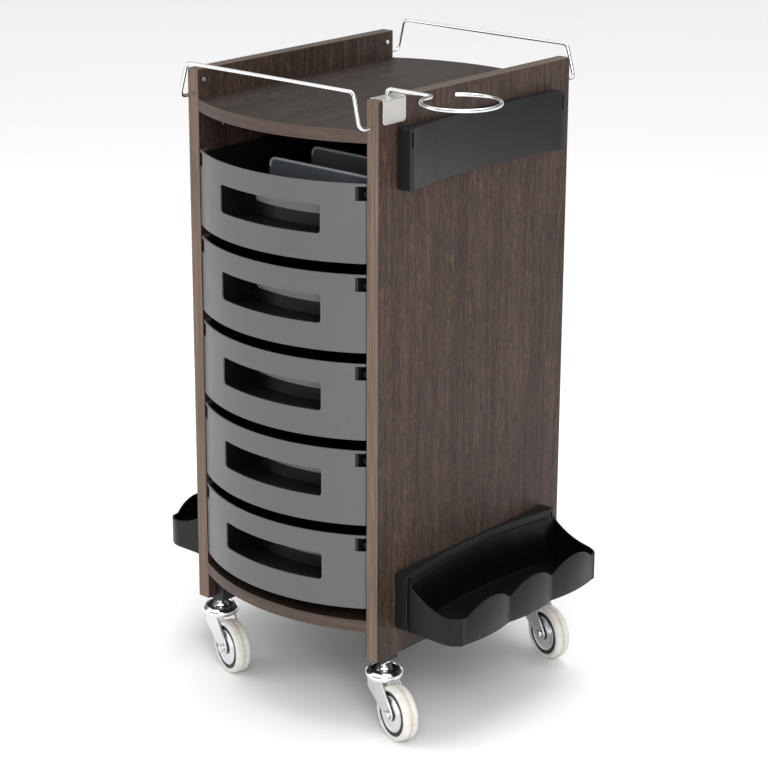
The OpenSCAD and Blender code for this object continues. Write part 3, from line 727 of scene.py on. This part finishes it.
ARM_BEND = 6.0
wire_z = ring_hi.z - WIRE_R
ring_r = (ring_hi.y - ring_lo.y) / 2 - WIRE_R
ring_x = ring_hi.x - WIRE_R - ring_r
ring_y = (ring_hi.y + ring_lo.y) / 2
arm_y = ring_y + ARM_BEND
arm_x = HALF_IN + 3
start = [(arm_x, arm_y, top_z + 0.2), (arm_x, arm_y, wire_z), (ring_x - ring_r, arm_y, wire_z),
         (ring_x - ring_r, ring_y, wire_z)]
path = smooth_path(start, ARM_BEND)
path += [Vector((p.x, p.y, wire_z)) for p in arc(ring_x, ring_y, ring_r, 180, 498, 120)]
piece("dryer_ring_wire", wire("dryer_ring_wire", path, WIRE_R), MATS["chrome"], "dryer_holder",
      ["dryer_ring"])


# ---- Brackets and bins ----

for node in ("bracket_right_top", "bracket_right_bottom", "bracket_left_bottom"):
    dress(node, "bracket")
    soften(node, 0.8)
for node in ("bin_right", "bin_left"):
    dress(node, node)
    soften(node, 0.7)


# ---- Drawers ----

front_lo, front_hi = local("drawer_1_front")
FRONT_HALF = front_hi.x
FRONT_BOW = -HALF_D - front_lo.y
FRONT_R = bow_r(FRONT_HALF, FRONT_BOW)
FRONT_CY = front_lo.y + FRONT_R
FRONT_H = front_hi.z - front_lo.z
RETURN_Y = front_hi.y
WALL = 2.5
GRIP_X, GRIP_W, GRIP_H, GRIP_DROP = 8.0, 168.0, 37.0, 30.0
GUARD_HALF, GUARD_H, GUARD_T = 58.0, 25.0, 2.0
GUARD_R = FRONT_R - 44.0
NOTCH_W, NOTCH_TOP, NOTCH_H = 11.5, 4.0, 18.0

swing = math.degrees(math.asin(FRONT_HALF / FRONT_R))
bow = arc(0, FRONT_CY, FRONT_R, -90 - swing, -90 + swing, 220)
corner_r = 5.0
left_side = fillet([(-FRONT_HALF, RETURN_Y), bow[0], bow[8]], [0, corner_r, 0], 8, closed=False)
front_path = left_side[:-1] + bow[8:-8]
right_side = [Vector((-p.x, p.y)) for p in reversed(left_side)]
front_path += right_side
front_track = Track(front_path, 0.5)


def front_bend(top):
    def bend(u, v, w):
        p, n = front_track.at(u)
        return (p.x + n.x * w, p.y + n.y * w, top + v)
    return bend


notch_s = front_track.find(FRONT_HALF - NOTCH_W, 0.5, 0.97)
grip_l = front_track.find(GRIP_X - GRIP_W / 2, 0.05, 0.95)
grip_r = front_track.find(GRIP_X + GRIP_W / 2, 0.05, 0.95)
end_s = front_track.length
front_outline = fillet(
    [(0, -FRONT_H), (end_s, -FRONT_H),
     (end_s, -NOTCH_TOP - NOTCH_H), (notch_s, -NOTCH_TOP - NOTCH_H), (notch_s, -NOTCH_TOP),
     (end_s, -NOTCH_TOP), (end_s, 0), (0, 0), (0, -NOTCH_TOP),
     (end_s - notch_s, -NOTCH_TOP), (end_s - notch_s, -NOTCH_TOP - NOTCH_H),
     (0, -NOTCH_TOP - NOTCH_H)],
    [1.5, 1.5, 1.0, 1.0, 1.0, 1.0, 1.5, 1.5, 1.0, 1.0, 1.0, 1.0], 4)
grip_hole = rectangle(grip_l, -GRIP_DROP - GRIP_H, grip_r, -GRIP_DROP, 4.5, 6)

# Behind the grip: a bowed wall with a ledge over it, both as wide as the CAD's
guard_ends = [GUARD_R * math.asin((GRIP_X + k * GUARD_HALF) / GUARD_R) for k in (-1, 1)]
guard_outline = fillet([(guard_ends[0], -GRIP_DROP + 1 - GUARD_H),
                        (guard_ends[1], -GRIP_DROP + 1 - GUARD_H),
                        (guard_ends[1], -GRIP_DROP + 1.5),
                        (guard_ends[0], -GRIP_DROP + 1.5)], [6, 6, 0, 0], 8)


def guard_bend(top):
    def bend(u, v, w):
        turn = u / GUARD_R
        return ((GUARD_R + w) * math.sin(turn), FRONT_CY - (GUARD_R + w) * math.cos(turn), top + v)
    return bend


def ledge_edge(radius):
    return [p for p in arc(0, FRONT_CY, radius, -90 - swing, -90 + swing, 200)
            if abs(p.x - GRIP_X) < GUARD_HALF]


ledge_outline = ledge_edge(FRONT_R - 1.6) + ledge_edge(GUARD_R - GUARD_T)[::-1]

for n in range(1, 6):
    front, tray, body = f"drawer_{n}_front", f"drawer_{n}_tray", f"drawer_{n}"
    top = local(front)[1].z
    piece(front + "_skin",
          plate(front + "_skin", front_outline, [grip_hole], WALL, 0.9, front_bend(top), grid=6.0),
          MATS["front"], body, [front])
    piece(front + "_guard",
          plate(front + "_guard", guard_outline, [], GUARD_T, 0.5, guard_bend(top), grid=6.0),
          MATS["guard"], body)
    piece(front + "_ledge",
          plate(front + "_ledge", ledge_outline, [], GUARD_T, 0.4,
                lambda u, v, w: (u, v, top - GRIP_DROP + 3 + w)),
          MATS["front"], body)
    dress(tray, "tray")
    soften(tray, 0.7)

dress("drawer_rails", "tray")
soften("drawer_rails", 0.6)

div_lo, div_hi = local("drawer_divider")
DIV_WALL = 2.0
div_outline = fillet([(div_lo.x, div_lo.z + 2), (div_hi.x, div_lo.z + 2), (div_hi.x, div_hi.z),
                      (div_lo.x, div_hi.z)], [1, 1, 1, 16], 8)
for name, y in (("front", div_lo.y), ("rear", div_hi.y - DIV_WALL)):
    piece("drawer_divider_" + name,
          plate("drawer_divider_" + name, div_outline, [], DIV_WALL, 0.6,
                lambda u, v, w: (u, y - w, v)),
          MATS["divider"], "drawer_1",
          ["drawer_divider"] if name == "front" else [])
    # Each divider gets a light grey bead along its top edge and a short way down one end: a
    # painted highlight for the light those edges catch.
    highlight_bead = smooth_path([(div_lo.x + 2, y + DIV_WALL / 2, div_hi.z - 12),
                        (div_lo.x + 2, y + DIV_WALL / 2, div_hi.z),
                        (div_hi.x - 3, y + DIV_WALL / 2, div_hi.z)], 9)
    piece("drawer_divider_highlight_bead_" + name, wire("drawer_divider_highlight_bead_" + name, highlight_bead, 1.9),
          MATS["highlight_bead"], "drawer_1")
piece("drawer_divider_base",
      plate("drawer_divider_base", rectangle(div_lo.x, div_lo.y, div_hi.x, div_hi.y, 2), [],
            DIV_WALL, 0.5, lambda u, v, w: (u, v, div_lo.z + DIV_WALL + w)),
      MATS["divider"], "drawer_1")


# ---- Fittings ----

dress("caster_sockets", "tray")
soften("caster_sockets", 0.8)
dress("corner_brackets", "zinc")
soften("corner_brackets", 0.4)
dress("panel_screws", "zinc")
soften("panel_screws", 0.4)


# ---- Casters ----

CAP_R, CAP_BORE = 25.5, 5.1           # bearing cap
SEAL_R = 12.0
STEM_R, STEM_BELOW_CAP = 5.0, 5.5
COLLAR_R, COLLAR_H = 9.0, 4.0
NUT_D, HEAD_D = 17.0, 13.0            # over the corners
AXLE_R, AXLE_HALF, HEAD_T = 4.0, 20.0, 3.0
TYRE_R, TYRE_HALF = 37.5, 11.0
for c in ("fl", "fr", "rl", "rr"):
    cap, stem = local(f"caster_{c}_cap"), local(f"caster_{c}_stem")
    wheel = local(f"caster_{c}_tyre")
    pivot = (stem[0] + stem[1]) / 2
    hub = (wheel[0] + wheel[1]) / 2
    trail = Vector((hub.x - pivot.x, hub.y - pivot.y))
    heading = math.atan2(trail.y, trail.x)
    swivel, roll = f"caster_{c}_swivel", f"caster_{c}_wheel"
    turn = Matrix.Rotation(heading, 4, "Z")
    upright = Matrix.Translation(place(pivot.x, pivot.y, 0)) @ turn
    axle = (Matrix.Translation(place(hub.x, hub.y, hub.z)) @ turn
            @ Matrix.Rotation(math.pi / 2, 4, "X"))
    cap_z, cap_top = cap[0].z, cap[1].z

    dome = fillet([(CAP_BORE, cap_z + 0.2), (CAP_R - 1.2, cap_z + 0.2), (CAP_R - 1.2, cap_z),
                   (CAP_R, cap_z), (CAP_R, cap_z + 5.2), (CAP_R - 4.5, cap_top),
                   (CAP_R - 6.5, cap_top), (CAP_R - 7.5, cap_top - 2.6), (11.5, cap_top - 2.6),
                   (11.5, cap_top - 0.6), (CAP_BORE, cap_top - 0.6)],
                  [0, 0.3, 0.3, 1.2, 4.5, 2.5, 0.8, 0.8, 0.5, 0.8, 0], 6)
    piece(f"caster_{c}_dome", turned(f"caster_{c}_dome", [dome]), MATS["polished"], swivel,
          [f"caster_{c}_cap"], upright)
    seal = ring_profile(SEAL_R, CAP_R - 7.8, cap_top - 2.7, cap_top - 0.9, 0.7)
    piece(f"caster_{c}_seal", turned(f"caster_{c}_seal", [seal]), MATS["seal"], swivel,
          [], upright)

    socket_z = local("caster_sockets")[0].z
    rod = ring_profile(0, STEM_R, cap_z - STEM_BELOW_CAP, stem[1].z, 0)
    washer = ring_profile(STEM_R, 10.5, cap_top - 0.2, cap_top + 0.9, 0.4)
    collar = ring_profile(STEM_R - 0.2, COLLAR_R, socket_z - COLLAR_H, socket_z, 0.6)
    parts = [lathe([tuple(q) for q in p]) for p in (rod, washer, collar)]
    parts.append(hexagon(NUT_D, cap_top + 0.9, cap_top + 4.3, 0.9))
    piece(f"caster_{c}_post", joined(f"caster_{c}_post", parts), MATS["polished"], "cabinet",
          [f"caster_{c}_stem"], upright)

    dress(f"caster_{c}_fork", "zinc")
    soften(f"caster_{c}_fork", 0.5)

    pin = ring_profile(0, AXLE_R, -AXLE_HALF + 1, AXLE_HALF - 1, 0)
    bolt = [lathe([tuple(q) for q in pin]),
            hexagon(HEAD_D, AXLE_HALF - HEAD_T, AXLE_HALF, 0.8),
            hexagon(HEAD_D, -AXLE_HALF, -AXLE_HALF + HEAD_T, 0.8)]
    piece(f"caster_{c}_bolt", joined(f"caster_{c}_bolt", bolt), MATS["zinc"], swivel,
          [f"caster_{c}_axle"], axle)

    tread = [(TYRE_R - 7, -TYRE_HALF + 1), (TYRE_R - 6, -TYRE_HALF + 0.3),
             (TYRE_R - 3, -TYRE_HALF), (TYRE_R - 1.3, -TYRE_HALF + 1.6),
             (TYRE_R - 0.3, -TYRE_HALF + 4), (TYRE_R, -1.2), (TYRE_R - 0.25, 0.0)]
    tread = tread + [(r, -z) for r, z in reversed(tread[:-1])]
    tread = fillet(tread, [0.4, 0.8, 1.6, 1.6, 3.0, 0.3, 0.2, 0.3, 3.0, 1.6, 1.6, 0.8, 0.4], 4)
    piece(f"caster_{c}_tread", turned(f"caster_{c}_tread", [tread], steps=128), MATS["tyre"], roll,
          [f"caster_{c}_tyre"], axle)
    core = [(4.05, -12.2), (9.0, -12.2), (9.0, -8.0), (25.0, -8.0), (25.0, -9.5), (26.3, -9.8),
            (27.2, -9.0), (28.2, -9.8), (30.5, -9.5)]
    core = core + [(r, -z) for r, z in reversed(core)]
    core = fillet(core, [0, 0.6, 0.6, 0.3, 0.4, 0.5, 0.4, 0.5, 0.3] + [0.3, 0.5, 0.4, 0.5, 0.4,
                                                                       0.3, 0.6, 0.6, 0], 3)
    piece(f"caster_{c}_rim", turned(f"caster_{c}_rim", [core]), MATS["wheel"], roll,
          [f"caster_{c}_core"], axle)
    discs = []
    for side in (-1, 1):
        disc = [(9.2, 8.2), (24.8, 8.2), (24.8, 10.4), (23.6, 10.6), (22.0, 9.7), (16.5, 9.7),
                (14.5, 10.6), (9.2, 10.6)]
        disc = fillet([(r, side * z) for r, z in disc], [0, 0.2, 0.6, 0.6, 0.8, 1.0, 1.0, 0.5], 4)
        discs.append(disc)
    piece(f"caster_{c}_discs", turned(f"caster_{c}_discs", discs), MATS["cover"], roll,
          [f"caster_{c}_covers"], axle)


# ---- Stage ----

def stage_material(name, colour, rough):
    f = Finish(name, specular_ior_level=0.2)
    tone = f.noise(f.coords(), 0.6, 2.0, 0.5)
    return f.use(f.ramp(tone, [(0.3, tuple(c * 0.985 for c in colour)), (0.7, colour)]),
                 f.scaled(tone, rough, rough + 0.05))


floor_mesh = bpy.data.meshes.new("floor")
reach = 30.0
floor_mesh.from_pydata([(-reach, -reach, 0), (reach, -reach, 0), (reach, reach, 0),
                        (-reach, reach, 0)], [], [(0, 1, 2, 3)])
floor = bpy.data.objects.new("floor", floor_mesh)
bpy.context.scene.collection.objects.link(floor)
floor_mesh.materials.append(stage_material("floor_pale", (0.93, 0.93, 0.93), 0.7))

# Studio: a pale horizon, a dimmer wall and a bright ceiling, so that bright metal has
# something to reflect.
world = bpy.data.worlds.new("studio")
bpy.context.scene.world = world
world.use_nodes = True
sky = world.node_tree
height = sky.nodes.new("ShaderNodeSeparateXYZ")
sky.links.new(sky.nodes.new("ShaderNodeTexCoord").outputs["Generated"], height.inputs[0])
shade = sky.nodes.new("ShaderNodeValToRGB")
sky.links.new(height.outputs["Z"], shade.inputs[0])
bands_of_light = ((0.0, 1.0), (0.10, 1.0), (0.22, 0.24), (0.52, 0.28), (0.70, 1.35), (1.0, 1.6))
while len(shade.color_ramp.elements) < len(bands_of_light):
    shade.color_ramp.elements.new(0.5)
for element, (at, value) in zip(shade.color_ramp.elements, bands_of_light):
    element.position = at
    element.color = (value, value, value, 1)
sky.links.new(shade.outputs["Color"], sky.nodes["Background"].inputs["Color"])
sky.nodes["Background"].inputs["Strength"].default_value = 0.9


def softbox(name, place_at, target, size, power):
    data = bpy.data.lights.new(name, "AREA")
    data.shape = "RECTANGLE"
    data.size, data.size_y = size
    data.energy = power
    o = bpy.data.objects.new(name, data)
    bpy.context.scene.collection.objects.link(o)
    o.location = place_at
    o.rotation_mode = "QUATERNION"
    o.rotation_quaternion = (Vector(target) - Vector(place_at)).to_track_quat("-Z", "Y")


softbox("key", (1.7, -1.7, 1.5), (0, 0, 0.6), (1.3, 1.3), 34)
softbox("fill", (-2.6, -2.4, 1.6), (0, 0, 0.45), (2.0, 2.0), 18)
softbox("top", (0.0, 0.4, 3.4), (0, 0, 0.4), (2.4, 2.4), 45)

scene = bpy.context.scene
scene.view_settings.view_transform = "Standard"
scene.view_settings.look = "None"

AZIMUTH, ELEVATION, ROLL, DISTANCE = 41.438, 17.343, 0.031, 3.07306
TARGET = Vector((-0.05645, 0.0, 0.48881))
camera_data = bpy.data.cameras.new("camera")
camera_data.sensor_width = 36.0
camera_data.lens = 105.13
camera_data.shift_x, camera_data.shift_y = 0.03, -0.08
camera = bpy.data.objects.new("camera", camera_data)
scene.collection.objects.link(camera)
az, el = math.radians(AZIMUTH), math.radians(ELEVATION)
back = Vector((math.sin(az) * math.cos(el), -math.cos(az) * math.cos(el), math.sin(el)))
camera.location = TARGET + back * DISTANCE
camera.rotation_mode = "QUATERNION"
camera.rotation_quaternion = ((-back).to_track_quat("-Z", "Y")
                              @ Matrix.Rotation(math.radians(ROLL), 3, "Z").to_quaternion())
camera_data.clip_end = 100
scene.camera = camera
